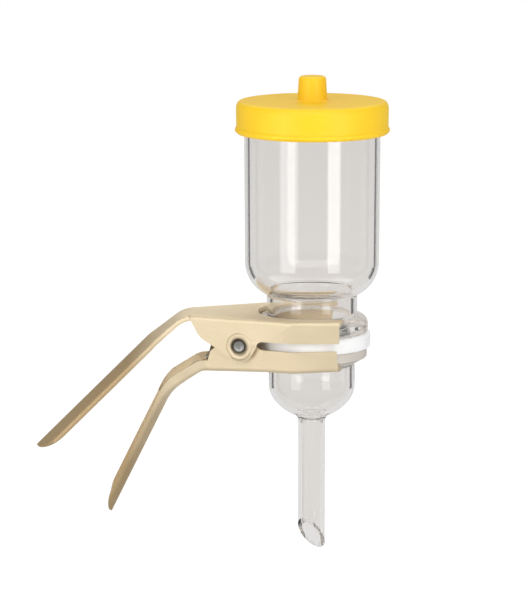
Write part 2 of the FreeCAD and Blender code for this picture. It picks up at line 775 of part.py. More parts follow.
def make_handle(body, way, start, steps, sections, nose_rise):
    """A strip swept along its path, with its end rounded off. sections maps a path corner's number to
    the arch's rise and the walls' depth there, and between two of them both change evenly."""
    prefix = "upper" if way > 0 else "lower"
    corners, arcs, headings = handle_path(start, steps)
    for first, last in zip(list(sections), list(sections)[1:]):
        spine = new_sketch(body, f"{prefix}_handle_path_{first}")
        inside = {at - first: arc for at, arc in arcs.items() if first <= at < last}
        draw(spine, corners[first : last + 1], inside, closed=False)
        changes = sections[first] != sections[last]
        profiles = [
            handle_section(
                body, f"{prefix}_section_{first}_{at}", way, corners[at], headings[at], *sections[at]
            )
            for at in ((first, last) if changes else (first,))
        ]
        before = body.Shape.Volume
        strip = body.newObject("PartDesign::AdditivePipe", f"{prefix}_handle_{first}")
        strip.Profile = profiles[0]
        strip.Spine = spine
        if changes:
            strip.Sections = profiles[1:]
            strip.Transformation = "Multisection"
        doc.recompute()
        if body.Shape.Volume < before + 1:
            raise RuntimeError(f"{strip.Name} adds nothing")

    # the end is round in plan, and its lip rises to a thin tip
    nose = new_sketch(body, f"{prefix}_nose", "XY_Plane")
    nose.AttachmentOffset = FreeCAD.Placement(
        FreeCAD.Vector(), FreeCAD.Rotation(FreeCAD.Vector(0, -1, 0), 1)
    )
    bind(nose, "AttachmentOffset.Base.x", corners[-1][0])
    bind(nose, "AttachmentOffset.Base.z", corners[-1][1])
    bind(nose, "AttachmentOffset.Rotation.Angle", headings[-1])
    half, reach = "derived.handle_half_width", "dims.handle_nose"
    draw(
        nose,
        [
            (reach, half),
            (reach, f"{half} + {PAST}"),
            (f"-{PAST}", f"{half} + {PAST}"),
            (f"-{PAST}", f"-{half} - {PAST}"),
            (reach, f"-{half} - {PAST}"),
            (reach, f"-{half}"),
        ],
        {5: (tangent_radius(half, reach), -1)},
    )
    cut(body, nose, f"{prefix}_nose_cut", length=f"dims.handle_depth * {PAST}")

    lip = new_sketch(body, f"{prefix}_lip")
    lip.AttachmentOffset = FreeCAD.Placement(
        FreeCAD.Vector(), FreeCAD.Rotation(FreeCAD.Vector(0, 0, 1), 1)
    )
    bind(lip, "AttachmentOffset.Base.x", corners[-1][0])
    bind(lip, "AttachmentOffset.Base.y", corners[-1][1])
    bind(lip, "AttachmentOffset.Rotation.Angle", headings[-1])
    depth, tip = "dims.handle_depth", "dims.handle_tip"
    below = signed(-way, f"{depth} + {PAST}")
    draw(
        lip,
        [
            (nose_rise, signed(-way, depth)),
            ("0", signed(-way, tip)),
            (f"-{PAST}", signed(-way, tip)),
            (f"-{PAST}", below),
            (nose_rise, below),
        ],
        {0: (tangent_radius(nose_rise, f"{depth} - {tip}"), -way)},
    )
    cut(body, lip, f"{prefix}_lip_cut")


def bore_ears(body, name, clearance):
    """A hole through both ears along the pin."""
    hole = new_sketch(body, f"{name}_line")
    draw_circle(hole, f"derived.pin_r + {clearance}")
    cut(body, hole, name)


def collar_sketch(body, name, corners):
    """A section square to the sloping ear, measured from where the pin's axis meets its outer face."""
    sketch = new_sketch(body, name, "XY_Plane")
    sketch.AttachmentOffset = FreeCAD.Placement(
        FreeCAD.Vector(), FreeCAD.Rotation(FreeCAD.Vector(0, 0, 1), 1)
    )
    bind(sketch, "AttachmentOffset.Base.y", "derived.ear_half_width")
    bind(sketch, "AttachmentOffset.Rotation.Angle", "derived.flare_angle")
    draw(sketch, corners)
    return sketch


def make_upper_jaw():
    """Upper half of the clamp. Its ears lie outside the lower half's and carry raised collars."""
    body = new_body("upper_jaw")
    web, lobe = "derived.upper_web", "dims.lobe_radius"
    rear, jaw = "dims.upper_rear_reach", "derived.upper_jaw_reach"
    heel = f"{web} + dims.sheet_thickness - dims.upper_heel_depth"
    foot = f"{web} - dims.upper_jaw_foot + dims.sheet_thickness"
    below = f"-{lobe} - {PAST}"
    edge_line = [
        (f"-{rear} - {PAST}", heel),
        (f"-{rear} + dims.upper_ear_step", heel),
        ("-dims.upper_waist_rear", "dims.upper_waist_top"),
        ("-dims.upper_waist_front", "dims.upper_waist_foot"),
        (f"-{lobe} * cos(dims.upper_lobe_rear)", f"-{lobe} * sin(dims.upper_lobe_rear)"),
        (f"{lobe} * cos(dims.upper_lobe_front)", f"-{lobe} * sin(dims.upper_lobe_front)"),
        ("dims.slot_reach", "0"),
        ("dims.slot_reach + dims.slot_above", "dims.slot_above"),
        (jaw, "dims.slot_above"),
        (jaw, foot),
        (f"{jaw} + {PAST}", foot),
        (f"{jaw} + {PAST}", below),
        (f"-{rear} - {PAST}", below),
    ]
    arcs = {2: ("dims.upper_waist_round", 1), 4: (lobe, 1), 6: ("dims.slot_above", -1)}
    make_channel(body, 1, web, edge_line, arcs)
    make_handle(
        body,
        1,
        (f"(-{rear})", f"({web} + dims.sheet_thickness)"),
        [
            ("dims.upper_heel_bend", "dims.upper_heel_angle"),
            "dims.upper_heel_run",
            ("dims.upper_handle_bend", "dims.upper_handle_angle"),
            "dims.upper_handle_run",
        ],
        {
            0: ("dims.heel_rise", "dims.upper_heel_depth"),
            3: ("dims.handle_rise", "dims.handle_depth"),
            4: ("dims.handle_rise", "dims.handle_depth"),
        },
        "dims.upper_nose_rise",
    )
    top, recess_r = "dims.collar_rise", "dims.recess_diameter / 2"
    ring = collar_sketch(
        body,
        "collar_section",
        [
            ("0", "-dims.collar_root"),
            ("dims.collar_radius", "-dims.collar_root"),
            ("dims.collar_radius", "dims.collar_edge"),
            ("dims.collar_radius - dims.collar_slope", top),
            ("0", top),
        ],
    )
    collar = revolve(body, ring, "collar")
    bottom = f"({top} - dims.recess_depth)"
    dish = collar_sketch(
        body,
        "recess_section",
        [("0", bottom), (recess_r, bottom), (recess_r, f"{top} + {PAST}"), ("0", f"{top} + {PAST}")],
    )
    recess = revolve(body, dish, "collar_recess", cut=True)
    mirrored = body.newObject("PartDesign::Mirrored", "both_collars")
    mirrored.Originals = [collar, recess]
    mirrored.MirrorPlane = (plane(body, "XZ_Plane"), [""])
    body.Tip = mirrored
    doc.recompute()
    bore_ears(body, "upper_bore", "dims.pin_running_clearance")
    place(body, x="-derived.pin_reach", z="derived.pin_z", turn="dims.upper_tilt")
    return body


def make_lower_jaw():
    """Lower half of the clamp, whose ears nest inside the upper half's."""
    body = new_body("lower_jaw")
    web, lobe = "derived.lower_web", "dims.lobe_radius"
    rear, jaw = "dims.lower_rear_reach", "derived.lower_jaw_reach"
    heel = f"-({web}) - dims.sheet_thickness + dims.handle_depth"
    foot = f"-({web}) - dims.sheet_thickness + dims.lower_jaw_foot"
    above = f"{lobe} + {PAST}"
    edge_line = [
        (f"-{rear} - {PAST}", above),
        (f"-{rear} - {PAST}", heel),
        (f"-{rear} + dims.lower_ear_step", heel),
        ("-dims.lower_waist_rear", "-dims.lower_waist_foot"),
        ("-dims.lower_waist_front", "-dims.lower_waist_top"),
        (f"-{lobe} * cos(dims.lower_lobe_rear)", f"{lobe} * sin(dims.lower_lobe_rear)"),
        (f"{lobe} * cos(dims.lower_lobe_front)", f"{lobe} * sin(dims.lower_lobe_front)"),
        ("dims.slot_reach", "0"),
        ("dims.slot_reach + dims.slot_below + dims.slot_lead", "-dims.slot_below"),
        (jaw, "-dims.slot_below - dims.slot_fall"),
        (jaw, foot),
        (f"{jaw} + {PAST}", foot),
        (f"{jaw} + {PAST}", above),
    ]
    slot_round = tangent_radius("dims.slot_below + dims.slot_lead", "dims.slot_below")
    arcs = {5: (lobe, -1), 7: (slot_round, 1)}
    make_channel(body, -1, web, edge_line, arcs)
    make_handle(
        body,
        -1,
        (f"(-{rear})", f"(-({web}) - dims.sheet_thickness)"),
        [
            ("dims.lower_heel_bend", "dims.lower_heel_angle"),
            "dims.lower_heel_run",
            ("dims.lower_handle_bend", "dims.lower_handle_angle"),
            "dims.lower_handle_run",
        ],
        {
            0: ("dims.heel_rise", "dims.handle_depth"),
            2: ("dims.lower_heel_rise", "dims.lower_heel_depth"),
            3: ("dims.handle_rise", "dims.handle_depth"),
            4: ("dims.handle_rise", "dims.handle_depth"),
        },
        "dims.lower_nose_rise",
    )
    bore_ears(body, "lower_bore", "dims.pin_seat_clearance")
    place(body, x="-derived.pin_reach", z="derived.pin_z", turn="dims.lower_tilt")
    return body


def make_pin():
    """Straight pin with chamfered, dished ends that stop just inside the collars."""
    body = new_body("pivot_pin")
    outline = new_sketch(body, "pin_section", "XY_Plane")
    radius, end, chamfer = "derived.pin_r", "derived.ear_half_width + dims.pin_overhang", "dims.pin_chamfer"
    rim = f"{radius} - {chamfer} - dims.pin_rim"
    corners = [
        (radius, f"{end} - {chamfer}"),
        (f"{radius} - {chamfer}", end),
        (rim, end),
        ("0", f"{end} - dims.pin_dish"),
    ]
    draw(outline, [(r, f"-({y})") for r, y in reversed(corners)] + corners)
    revolve(body, outline, "pin_turned")
    place(body, x="-derived.pin_reach", z="derived.pin_z", turn="dims.upper_tilt")
    return body


def make_spring():
    """Torsion spring round the pin. One leg pushes each half's web away, which keeps the jaws shut.

    The coil's wire and its two legs are one swept path, so the sheet's sizes are read here."""
    wire, clearance = value("dims.spring_wire"), value("dims.spring_leg_clearance")
    coil_r, turns = value("derived.coil_r"), value("dims.spring_turns")
    legs = []
    for web in ("derived.upper_web", "derived.lower_web"):
        reach = value("dims.lower_rear_reach")
        room = value(web) - wire / 2 - clearance
        angle = math.atan2(room - coil_r, reach)
        for _ in range(5):
            rise, run = room - coil_r * math.cos(angle), reach + coil_r * math.sin(angle)
            angle = math.atan2(rise, run)
        legs.append((angle, math.hypot(rise, run)))
    (up, up_length), (down, down_length) = legs
    down += math.radians(value("dims.lower_tilt - dims.upper_tilt"))
    turns += 0.5 - (up + down) / (2 * math.pi)
    # the legs carry on at the coil's lead, so the coil is narrower than the room by what they drift
    drift = (up_length + down_length) / (turns * 2 * math.pi * coil_r)
    height = value("derived.spring_room") / (1 + drift)
    helix = Part.makeHelix(height / turns, height, coil_r)
    # The helix runs about +Z from (coil_r, 0, 0). It is stood along Y so that it starts under the pin,
    # where the lower leg leaves, and ends above it, where the upper leg leaves.
    helix.translate(FreeCAD.Vector(0, 0, -height / 2))
    helix.rotate(FreeCAD.Vector(), FreeCAD.Vector(1, 0, 0), 90)
    start = helix.Edges[0].valueAt(helix.Edges[0].FirstParameter)
    wanted = FreeCAD.Vector(math.sin(down), 0, -math.cos(down))
    now = FreeCAD.Vector(start.x, 0, start.z).normalize()
    turn = math.degrees(math.atan2(wanted.x, wanted.z) - math.atan2(now.x, now.z))
    helix.rotate(FreeCAD.Vector(), FreeCAD.Vector(0, 1, 0), turn)
    coil = helix.Edges
    first, last = coil[0], coil[-1]
    start, way_in = first.valueAt(first.FirstParameter), first.tangentAt(first.FirstParameter)
    end, way_out = last.valueAt(last.LastParameter), last.tangentAt(last.LastParameter)
    lower_leg = Part.makeLine(start - way_in * down_length, start)
    upper_leg = Part.makeLine(end, end + way_out * up_length)
    path = Part.Wire([lower_leg, *coil, upper_leg])
    tip = lower_leg.Vertexes[0].Point
    section = Part.Wire([Part.makeCircle(wire / 2, tip, way_in)])
    spring = doc.addObject("Part::Feature", "torsion_spring")
    spring.Label = "torsion_spring"
    spring.Shape = path.makePipeShell([section], True, True)
    place(spring, x="-derived.pin_reach", z="derived.pin_z", turn="dims.upper_tilt")
    return spring


def check_and_write(parts):
    for thing in doc.Objects:
        if {"Invalid", "Error"} & set(thing.State):
            raise RuntimeError(f"{thing.Name} is {thing.State}")
    os.makedirs("parts", exist_ok=True)
    for part in parts:
        shape = part.Shape
        if shape.isNull() or not shape.isValid() or not shape.Solids:
            raise RuntimeError(f"{part.Label} has no valid shape")
        shape.exportStep(f"parts/{part.Label}.step")
        print(f"{part.Label}: {len(shape.Solids)} solid, {shape.Volume:.1f} mm3")


if __name__ == "__main__":
    made = [
        make_funnel(),
        make_receiver(),
        make_gasket(),
        make_screen(),
        make_lid(),
        make_upper_jaw(),
        make_lower_jaw(),
        make_pin(),
        make_spring(),
    ]
    doc.recompute()
    check_and_write(made)
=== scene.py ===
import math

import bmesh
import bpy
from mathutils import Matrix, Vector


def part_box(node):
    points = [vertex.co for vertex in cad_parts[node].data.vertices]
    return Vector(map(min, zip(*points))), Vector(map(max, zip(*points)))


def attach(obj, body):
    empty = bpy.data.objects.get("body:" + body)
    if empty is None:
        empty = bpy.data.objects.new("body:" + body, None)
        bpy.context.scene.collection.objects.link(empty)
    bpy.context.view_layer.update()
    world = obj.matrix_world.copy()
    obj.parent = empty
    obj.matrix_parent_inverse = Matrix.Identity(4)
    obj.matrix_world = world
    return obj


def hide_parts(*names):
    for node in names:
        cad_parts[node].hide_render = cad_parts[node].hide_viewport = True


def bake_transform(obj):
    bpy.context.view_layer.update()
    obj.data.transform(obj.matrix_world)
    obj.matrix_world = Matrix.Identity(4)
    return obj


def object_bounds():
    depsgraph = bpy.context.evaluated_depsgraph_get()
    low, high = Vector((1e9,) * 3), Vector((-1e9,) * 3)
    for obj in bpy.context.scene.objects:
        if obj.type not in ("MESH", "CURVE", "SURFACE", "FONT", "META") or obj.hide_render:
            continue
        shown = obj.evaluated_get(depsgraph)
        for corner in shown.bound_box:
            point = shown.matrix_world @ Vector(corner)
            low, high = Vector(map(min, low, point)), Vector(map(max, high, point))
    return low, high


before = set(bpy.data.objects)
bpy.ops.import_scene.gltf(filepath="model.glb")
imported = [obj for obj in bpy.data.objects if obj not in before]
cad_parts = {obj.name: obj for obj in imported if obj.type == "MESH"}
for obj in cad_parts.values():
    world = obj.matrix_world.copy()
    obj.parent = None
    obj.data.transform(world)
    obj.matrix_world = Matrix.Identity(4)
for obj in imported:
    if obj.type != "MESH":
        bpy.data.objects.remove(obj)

# %% [markdown]
# # A vacuum filtration unit
#
# The measured model is already loaded: each piece at its real size, in metres, standing where it
# belongs. This lesson gives it the look of the real thing. Glass, the lid and the sealing ring are made
# again as smooth turned shapes, the clamp keeps its measured sheet-metal shape, and the spring and the
# filter support are grown by Geometry Nodes from a few sizes.

cad_box = [list(corner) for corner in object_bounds()]
MM = 0.001
RING = 32.0  # height of the sealing ring's mid-plane above the origin, in mm
HALF_RING = 1.95  # half its height: the two ground faces of the glass stand this far from its mid-plane
PIN_AT = Vector((-18.7, 0, RING - 0.2)) * MM  # the middle of the clamp's pin, which lies along Y
scene = bpy.context.scene
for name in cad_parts:
    low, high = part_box(name)
    print(name, [round((b - a) / MM, 1) for a, b in zip(low, high)], "mm")

# %% [markdown]
# ## Finishes as sums
#
# A finish is a small tree of nodes. Written out node by node it is hard to read, so a socket is wrapped
# in a class that knows plus, minus and times, and a sum such as 0.3 + 0.1 * grain builds its own nodes.
# The same class serves the Geometry Nodes trees, which use the same Math node.


# %% A socket that can be used in sums
class Part:
    """One output socket of a tree."""

    def __init__(self, tree, socket):
        self.tree, self.socket = tree, socket

    def maths(self, operation, *others):
        return self.tree.add("ShaderNodeMath", {"operation": operation}, [self, *others])

    def __add__(self, other):
        return self.maths("ADD", other)

    def __mul__(self, other):
        return self.maths("MULTIPLY", other)

    def __sub__(self, other):
        return self.maths("SUBTRACT", other)

    def __rsub__(self, other):
        return self.tree.add("ShaderNodeMath", {"operation": "SUBTRACT"}, [other, self])

    __radd__ = __add__
    __rmul__ = __mul__

    def between(self, low, high):
        """Carries low..high onto 0..1 and stops at both ends."""
        return self.tree.add("ShaderNodeMapRange", {"clamp": True}, {0: self, 1: low, 2: high})


class Tree:
    """A node tree that is filled with one method."""

    def __init__(self, nodes):
        self.nodes = nodes

    def add(self, kind, settings=None, sockets=None, out=0):
        """Adds a node: its settings first, then a value or a link for each socket, by name or number."""
        node = self.nodes.nodes.new(kind)
        for key, setting in (settings or {}).items():
            setattr(node, key, setting)
        pairs = sockets.items() if isinstance(sockets, dict) else enumerate(sockets or [])
        for key, thing in pairs:
            if isinstance(thing, Part):
                self.nodes.links.new(thing.socket, node.inputs[key])
            else:
                node.inputs[key].default_value = thing
        return Part(self, node.outputs[out]) if len(node.outputs) else None


# %% [markdown]
# A paint maker matches a colour against a chart and gives it as three numbers up to 255. Those numbers are
# spaced for the eye, and a renderer adds up light, so each is turned into an amount of light first. A
# finish then starts as an empty tree that knows its place on the object.

# %% A new finish
def paint(red, green, blue, share=1.0):
    """The colour that the three 0..255 numbers of a colour chart stand for, or a darker share of it."""
    def one(level):
        level /= 255
        return share * (level / 12.92 if level <= 0.04045 else ((level + 0.055) / 1.055) ** 2.4)

    return (one(red), one(green), one(blue), 1)


class Finish(Tree):
    """A surface finish. surface() adds a Principled shader, and dress() makes one the whole finish."""

    def __init__(self, name):
        self.material = bpy.data.materials.new(name)
        self.material.use_nodes = True
        super().__init__(self.material.node_tree)
        self.nodes.nodes.clear()
        self.place = self.add("ShaderNodeTexCoord", out="Object")

    def stretched(self, scale):
        """The place on the object, stretched. A large number makes a pattern fine that way."""
        return self.add("ShaderNodeMapping", {}, {"Vector": self.place, "Scale": scale})

    def noise(self, where, scale, detail=2.0, roughness=0.5):
        sockets = {"Vector": where, "Scale": scale, "Detail": detail, "Roughness": roughness}
        return self.add("ShaderNodeTexNoise", {}, sockets)

    def mix(self, share, first, second):
        """Blends two colours."""
        sockets = {0: share, 6: first, 7: second}
        return self.add("ShaderNodeMix", {"data_type": "RGBA"}, sockets, out=2)

    def distance_from_pin(self):
        """How far a place is from the pin's axis, which lies along Y."""
        flat = self.add("ShaderNodeVectorMath", {"operation": "MULTIPLY"}, [self.place, (1, 0, 1)])
        return self.add("ShaderNodeVectorMath", {"operation": "DISTANCE"}, [flat, PIN_AT], out=1)

    def bump(self, height, depth, strength=1.0):
        sockets = {"Height": height, "Distance": depth, "Strength": strength}
        return self.add("ShaderNodeBump", {}, sockets)

    def surface(self, **sockets):
        named = {key.replace("_", " "): thing for key, thing in sockets.items()}
        return self.add("ShaderNodeBsdfPrincipled", {}, named)

    def dressed_in(self, surface):
        self.add("ShaderNodeOutputMaterial", {}, {"Surface": surface})
        print("finish", self.material.name, "with", len(self.nodes.nodes), "nodes")
        return self.material

    def dress(self, **sockets):
        return self.dressed_in(self.surface(**sockets))


# %% [markdown]
# ## Silicone for the lid
#
# The lid is one moulding of platinum-cured silicone: strong yellow all through, a soft satin skin, and a
# slight glow because light goes a little way in. Subsurface gives that glow. The skin of a moulding is
# never quite even, so a slow noise moves the roughness and a fine one gives the mould's matt texture.

# %% The lid's finish
def make_silicone():
    finish = Finish("yellow_silicone")
    slow = finish.noise(finish.place, 60.0)
    fine = finish.noise(finish.place, 2600.0, detail=3.0)
    colour = finish.mix(slow.between(0.3, 0.7), paint(252, 201, 22), paint(254, 208, 34))
    return finish.dress(
        Base_Color=colour,
        Roughness=0.42 + 0.08 * slow,
        Specular_IOR_Level=0.4,
        Subsurface_Weight=0.25,
        Subsurface_Radius=(0.004, 0.003, 0.0006),
        Subsurface_Scale=0.6,
        Normal=finish.bump(fine + 0.6 * slow, 0.00003, 0.5),
    )


silicone = make_silicone()

# %% [markdown]
# ## Glass
#
# Borosilicate glass is clear, but a ray that shows the far side has crossed four faces, and each one
# turns a little of it away. Clear glass also draws its own edges: where the wall curves away, light comes
# through it from the side. That needs real walls with an inside and an outside, and no outline is
# painted. The flame leaves a very slight unevenness in the surface, which a shallow, slow bump gives.
#
# The two faces that seal on the ring are ground flat with grit, and so is the rim of the receiver's
# flange. Ground glass is rough and milky. All of it lies near the ring, so its height picks it out: there
# the glass is rougher, and a pale matt surface is blended in. Paint would hide the depth of the flange,
# and a blend keeps it.

# %% The glass's finish
def make_glass():
    finish = Finish("clear_glass")
    slow = finish.noise(finish.stretched((90, 90, 25)), 1.0, detail=1.0)
    height = finish.add("ShaderNodeSeparateXYZ", {}, [finish.place], out=2)
    from_ring = (height - RING * MM).maths("ABSOLUTE")
    seals = 1 - from_ring.between((HALF_RING + 0.03) * MM, (HALF_RING + 0.09) * MM)
    # The receiver's flange has an upright rim from 27.55 to 30.05 mm.
    rim = height.between(27.4 * MM, 27.6 * MM) - height.between(30.2 * MM, 30.4 * MM)
    ground = seals.maths("MAXIMUM", rim)
    clear = finish.surface(
        Base_Color=paint(249, 247, 245),
        Roughness=0.015 + 0.3 * ground,
        IOR=1.473,
        Transmission_Weight=1.0,
        Normal=finish.bump(slow, 0.00004, 0.35),
    )
    milky = finish.surface(Base_Color=paint(232, 224, 214), Roughness=0.5)
    return finish.dressed_in(finish.add("ShaderNodeMixShader", {}, [0.6 * ground, clear, milky]))


glass = make_glass()

# %% [markdown]
# ## PTFE for the ring
#
# The ring is turned from white PTFE, a waxy plastic that lets light a little way in. A lathe tool leaves
# fine rings round it, so the bump is noise that is drawn out round the ring and changes fast with height.

# %% The ring's finish
def make_ptfe():
    finish = Finish("white_ptfe")
    rings = finish.noise(finish.stretched((40, 40, 9000)), 1.0, detail=1.0)
    slow = finish.noise(finish.place, 150.0)
    colour = finish.mix(slow, paint(244, 246, 246), paint(250, 250, 249))
    return finish.dress(
        Base_Color=colour,
        Roughness=0.38 + 0.1 * rings,
        Subsurface_Weight=0.3,
        Subsurface_Radius=(0.003, 0.003, 0.003),
        Subsurface_Scale=0.5,
        Normal=finish.bump(rings, 0.00002, 0.4),
    )


ptfe = make_ptfe()

# %% [markdown]
# ## Champagne anodised sheet
#
# The clamp is pressed from aluminium sheet, then anodised and dyed a pale champagne. It keeps the lines
# of the rolling mill along its length, under a satin film. The lines are noise squeezed across the sheet
# and drawn out along it. They stir the roughness and the normal, and barely the colour.
#
# Shade is painted in two places. The handles, back of their bends, lie in shade, so the place along the
# clamp blends a darker brown in there: painted shade. The recess round the pin lies in shadow, so the
# distance from the pin's axis blends in a dark brown: painted shadow. A little noise keeps both borders
# from looking ruled.

# %% The clamp's finish
def make_anodised():
    finish = Finish("champagne_anodised")
    lines = finish.noise(finish.stretched((60, 5200, 5200)), 1.0, detail=4.0, roughness=0.6)
    grain = finish.noise(finish.place, 5200.0)
    cloud = finish.noise(finish.place, 110.0)
    sheet = (0.55 * lines + 0.45 * cloud).between(0.35, 0.65)
    colour = finish.mix(sheet, paint(225, 208, 176), paint(235, 220, 191))
    along = finish.add("ShaderNodeSeparateXYZ", {}, [finish.place])
    # The handles, back of their bends, get a darker brown: painted shade.
    handle_shade = (along + 4 * MM * cloud).between(-33 * MM, -46 * MM)
    colour = finish.mix(0.8 * handle_shade, colour, paint(178, 151, 108))
    # A dark brown ring round the pin: painted shadow in the recess.
    pin_recess_shadow = (finish.distance_from_pin() + 0.3 * MM * cloud).between(2.45 * MM, 1.9 * MM)
    colour = finish.mix(0.85 * pin_recess_shadow, colour, paint(64, 54, 42))
    return finish.dress(
        Base_Color=colour,
        Metallic=0.86,
        Roughness=0.5 + 0.14 * lines + 0.06 * cloud,
        Normal=finish.bump(0.7 * lines + 0.3 * grain, 0.00002, 0.6),
    )


anodised = make_anodised()

# %% [markdown]
# ## Steel
#
# Three bright steel pieces differ only in how they were worked: the pin was turned, so its ends carry
# fine marks, the spring was drawn, so its skin is smooth and darker, and the support is punched sheet
# with a brushed face. One function makes them all from a colour, a roughness and a stretch. The pin alone
# darkens away from its axis, round the edge of its ends: painted shade, where the ends sit in the collar.

# %% The steels' finishes
def make_steel(name, colour, roughness, stretch, shaded_rim=False):
    finish = Finish(name)
    marks = finish.noise(finish.stretched(stretch), 1.0, detail=3.0)
    cloud = finish.noise(finish.place, 300.0)
    shade = finish.mix(cloud.between(0.3, 0.7), paint(*colour, share=0.8), paint(*colour))
    # The edge of the pin's ends darkens: painted shade where they sit in the collar's recess.
    if shaded_rim:
        edge = finish.distance_from_pin().between(1.25 * MM, 1.42 * MM)
        shade = finish.mix(0.85 * edge, shade, paint(66, 58, 48))
    return finish.dress(
        Base_Color=shade,
        Metallic=1.0,
        Roughness=roughness + 0.16 * marks,
        Normal=finish.bump(marks, 0.00002, 0.6),
    )


pin_steel = make_steel("turned_steel", (166, 165, 161), 0.36, (3000, 400, 3000), shaded_rim=True)
wire_steel = make_steel("drawn_wire", (150, 149, 146), 0.3, (900, 900, 900))
screen_steel = make_steel("punched_sheet", (196, 196, 193), 0.3, (200, 5000, 800))

# %% [markdown]
# ## Turned pieces
#
# The glass, the lid and the ring are all round about one line, so each is one section carried round it.
# The corners of a section are rounded first, because glass is fire-polished and silicone is moulded, and
# a lamp then draws a soft line along each of them.


# %% Rounding a section's corners
def rounded(corners, steps=7):
    """A closed section from (radius, height, rounding) corners, in millimetres."""
    line = []
    for i, (r, z, rounding) in enumerate(corners):
        here = Vector((r, z))
        if not rounding:
            line.append(here)
            continue
        back = Vector(corners[i - 1][:2]) - here
        on = Vector(corners[(i + 1) % len(corners)][:2]) - here
        half = back.angle(on) / 2
        reach = rounding / math.tan(half)
        centre = here + (back.normalized() + on.normalized()).normalized() * (rounding / math.sin(half))
        start, end = here + back.normalized() * reach - centre, here + on.normalized() * reach - centre
        turn = start.angle_signed(end)
        for step in range(steps + 1):
            line.append(centre + Matrix.Rotation(-turn * step / steps, 2) @ start)
    return [(p.x, p.y) for p in line]


def sweep(centre, radius, first, last, steps=14):
    """Points on a circle's arc, from one angle to another in degrees."""
    angles = [math.radians(first + (last - first) * step / steps) for step in range(steps + 1)]
    return [(centre[0] + radius * math.cos(a), centre[1] + radius * math.sin(a)) for a in angles]


# %% [markdown]
# Every piece ends in the same steps: a mesh with smooth faces and crisp creases, one finish in its
# material slot, the measured pieces that it stands for hidden, and a place on the body it rides on. A
# piece that bends between two bodies rides on none, and says so later.

# %% A finished piece
CREASE = 38  # faces that meet at more than this many degrees keep a crisp edge


def mesh_of(work, name):
    """Turns a mesh being worked on into a plain one."""
    mesh = bpy.data.meshes.new(name)
    work.to_mesh(mesh)
    work.free()
    return mesh


def in_scene(name, data):
    """An object at the origin, unturned, that shows a mesh, a lamp or a camera."""
    thing = bpy.data.objects.new(name, data)
    scene.collection.objects.link(thing)
    return thing


def finished(name, mesh, body, material, nodes, crease=CREASE):
    for polygon in mesh.polygons:
        polygon.use_smooth = True
    mesh.set_sharp_from_angle(angle=math.radians(crease))
    mesh.materials.clear()
    mesh.materials.append(material)
    piece = in_scene(name, mesh)
    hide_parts(*nodes)
    if body:
        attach(piece, body)
    print(name, len(mesh.polygons), "faces")
    return piece


# %% [markdown]
# A lathe turns the work under a still tool. Here the section is carried round instead, one ring of points
# for each point of the section. The steps are fine enough that the outline of the cup never shows one. A
# Screw modifier could do the same, but it leaves the two ends of the turn, and points on the axis, to be
# merged afterwards.

# %% Carrying a section round the axis
def guarded(section, reach=0.2):
    """Puts a point close to each end of a long stretch, so a round beside it can't bend its shading."""
    line = []
    for here, after in zip(section, [*section[1:], section[0]]):
        line.append(here)
        span = math.dist(here, after)
        if span > 5 * reach:
            for share in (reach / span, 1 - reach / span):
                line.append(tuple(a + (b - a) * share for a, b in zip(here, after)))
    return line


def turned(name, section, body, material, nodes, around=192, place=Matrix.Identity(4)):
    """A solid of revolution about +Z from a closed section in millimetres."""
    work = bmesh.new()
    rings = []
    for r, z in guarded(section):
        if r < 1e-6:
            rings.append([work.verts.new((0, 0, z * MM))] * around)
            continue
        ring = []
        for step in range(around):
            a = 2 * math.pi * step / around
            ring.append(work.verts.new((r * MM * math.cos(a), r * MM * math.sin(a), z * MM)))
        rings.append(ring)
    for i, ring in enumerate(rings):
        after = rings[(i + 1) % len(rings)]
        for step in range(around):
            following = (step + 1) % around
            corners = dict.fromkeys([ring[step], ring[following], after[following], after[step]])
            if len(corners) > 2:
                work.faces.new(corners)
    bmesh.ops.transform(work, matrix=place, verts=work.verts)
    bmesh.ops.recalc_face_normals(work, faces=work.faces)
    return finished(name, mesh_of(work, name), body, material, nodes)


# %% [markdown]
# ## The funnel
#
# The funnel is drawn from tube on a glass lathe: a straight cup with a fire-polished rim, a round
# shoulder that closes in to a narrower neck, and a flange whose underside is ground flat for the ring.
# The glass flows where it is worked, so the flange meets the neck in a small fillet. The section follows
# the outside up and the inside down, and the wall between them is the thickness of real tube.
#
# Inside, the shoulder meets the neck in a soft corner, because hot glass can't keep a sharp one. A small
# arc that touches both the shoulder's round and the neck's bore gives it.

# %% Funnel section
FACE = RING + HALF_RING  # the funnel's ground face
LIFT = 0.02  # glass stops this short of the ring, so that two faces never share a plane
CUP, FOOT, WALL = 17.55, 17.35, 1.35  # the cup's radius at the rim and at the foot, and its wall
NECK, NECK_WALL = 11.75, 1.6
SHOULDER = 9.4  # the outer radius of the shoulder's round
SHOULDER_AT = (FOOT - SHOULDER, FACE + 18.4)  # the centre of the shoulder's round
RIM = FACE + 57.2 - WALL / 2
FLANGE, FLANGE_TOP = 14.55, FACE + 4.5
FILLET = 0.55  # where the flange meets the neck

flange = rounded(
    [
        (NECK - NECK_WALL, FACE + LIFT, 0.0),
        (FLANGE, FACE + LIFT, 0.45),
        (FLANGE, FLANGE_TOP, 2.38),
        (NECK, FLANGE_TOP, 0.0),
    ],
    steps=12,
)[:-1]
fillet = sweep((NECK + FILLET, FLANGE_TOP + FILLET), FILLET, 250, 180, 6)
lowest = -math.degrees(math.acos((NECK - SHOULDER_AT[0]) / SHOULDER))
outside = sweep(SHOULDER_AT, SHOULDER, lowest, 0, 20)
rim = sweep((CUP - WALL / 2, RIM), WALL / 2, 0, 180, 12)


def inside_shoulder(ease):
    """The inside of the shoulder, down to the neck's bore, with the corner between them eased."""
    radius, bore = SHOULDER - WALL, NECK - NECK_WALL
    across = bore + ease - SHOULDER_AT[0]
    drop = math.sqrt((radius + ease) ** 2 - across**2)
    leave = -math.degrees(math.atan2(drop, across))
    corner = sweep((bore + ease, SHOULDER_AT[1] - drop), ease, 180 + leave, 180, 6)
    return [*sweep(SHOULDER_AT, radius, 0, leave, 20), *corner[1:]]


